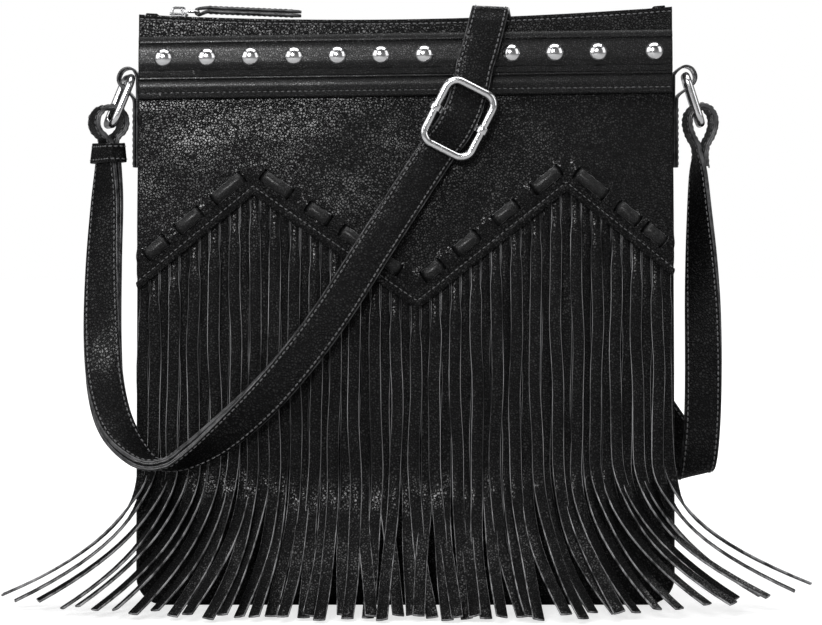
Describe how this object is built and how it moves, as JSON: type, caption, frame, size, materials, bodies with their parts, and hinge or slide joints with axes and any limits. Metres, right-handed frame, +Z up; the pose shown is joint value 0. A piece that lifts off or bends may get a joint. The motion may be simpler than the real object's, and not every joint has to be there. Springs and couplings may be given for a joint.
{
  "type": "fringed leather crossbody bag",
  "caption": "Flat crossbody bag with a fringed zigzag front laced with a thong, a stud band, a zip top and a long buckled strap on two side rings",
  "frame": {"origin": "middle of the flat base, on the surface the bag stands on", "axes": "+Z up, +X along the zip to the wearer's right as seen from the front, -Y out of the fringed front"},
  "size_m": [0.3867, 0.108, 0.301],
  "materials": {
    "back_panel": "grained, semi-gloss",
    "buckle_bar": "polished chrome plate",
    "buckle_frame": "polished chrome plate",
    "fringe": "grained, semi-gloss",
    "front_panel": "grained, semi-gloss",
    "front_yoke": "grained, semi-gloss",
    "gusset": "grained, semi-gloss",
    "lace": "grained, semi-gloss",
    "lining": "plain weave cloth",
    "ring_left": "polished chrome plate",
    "ring_right": "polished chrome plate",
    "ring_tab_left": "grained, semi-gloss, painted edges",
    "ring_tab_right": "grained, semi-gloss, painted edges",
    "strap": "grained, semi-gloss, painted edges",
    "strap_keeper": "grained, semi-gloss, painted edges",
    "stud_01": "polished chrome plate",
    "stud_02": "polished chrome plate",
    "stud_03": "polished chrome plate",
    "stud_04": "polished chrome plate",
    "stud_05": "polished chrome plate",
    "stud_06": "polished chrome plate",
    "stud_07": "polished chrome plate",
    "stud_08": "polished chrome plate",
    "stud_09": "polished chrome plate",
    "stud_10": "polished chrome plate",
    "stud_11": "polished chrome plate",
    "stud_12": "polished chrome plate",
    "stud_band": "grained, semi-gloss",
    "trim_band": "grained, semi-gloss",
    "zip_chain": "black nylon coil",
    "zip_end_left": "grained, semi-gloss",
    "zip_end_right": "grained, semi-gloss",
    "zip_facing_back": "grained, semi-gloss",
    "zip_facing_front": "grained, semi-gloss",
    "zip_pull_link": "polished chrome plate",
    "zip_pull_tab": "grained, semi-gloss, painted edges",
    "zip_slider": "polished chrome plate",
    "zip_tape_back": "black woven tape",
    "zip_tape_front": "black woven tape"
  },
  "bodies": {
    "bag": {"back_panel": "back_panel", "buckle_bar": "buckle_bar", "buckle_frame": "buckle_frame", "fringe": "fringe", "front_panel": "front_panel", "front_yoke": "front_yoke", "gusset": "gusset", "lace": "lace", "lining": "lining", "ring_tab_left": "ring_tab_left", "ring_tab_right": "ring_tab_right", "strap": "strap", "strap_keeper": "strap_keeper", "stud_01": "stud_01", "stud_02": "stud_02", "stud_03": "stud_03", "stud_04": "stud_04", "stud_05": "stud_05", "stud_06": "stud_06", "stud_07": "stud_07", "stud_08": "stud_08", "stud_09": "stud_09", "stud_10": "stud_10", "stud_11": "stud_11", "stud_12": "stud_12", "stud_band": "stud_band", "trim_band": "trim_band", "zip_chain": "zip_chain", "zip_end_left": "zip_end_left", "zip_end_right": "zip_end_right", "zip_facing_back": "zip_facing_back", "zip_facing_front": "zip_facing_front", "zip_tape_back": "zip_tape_back", "zip_tape_front": "zip_tape_front"},
    "slider": {"zip_slider": "zip_slider"},
    "pull": {"zip_pull_link": "zip_pull_link", "zip_pull_tab": "zip_pull_tab"},
    "left_ring": {"ring_left": "ring_left"},
    "right_ring": {"ring_right": "ring_right"}
  },
  "joints": [
    {"name": "zip_travel", "type": "hinge", "parent": "bag", "child": "slider", "pos_m": [-0.03, 0, 2.2931], "axis": [0, -1, 0], "range_deg": [0, 2.3]},
    {"name": "pull_flip", "type": "hinge", "parent": "slider", "child": "pull", "pos_m": [-0.11325, 0, 0.29829], "axis": [0, -1, 0], "range_deg": [0, 160]},
    {"name": "left_ring_swing", "type": "hinge", "parent": "bag", "child": "left_ring", "pos_m": [-0.1403, 0, 0.2642], "axis": [-0.2588, 0.9659, 0], "range_deg": [-3, 3]},
    {"name": "right_ring_swing", "type": "hinge", "parent": "bag", "child": "right_ring", "pos_m": [0.1418, 0, 0.2652], "axis": [0.0523, 0.9986, 0], "range_deg": [-3, 3]}
  ]
}
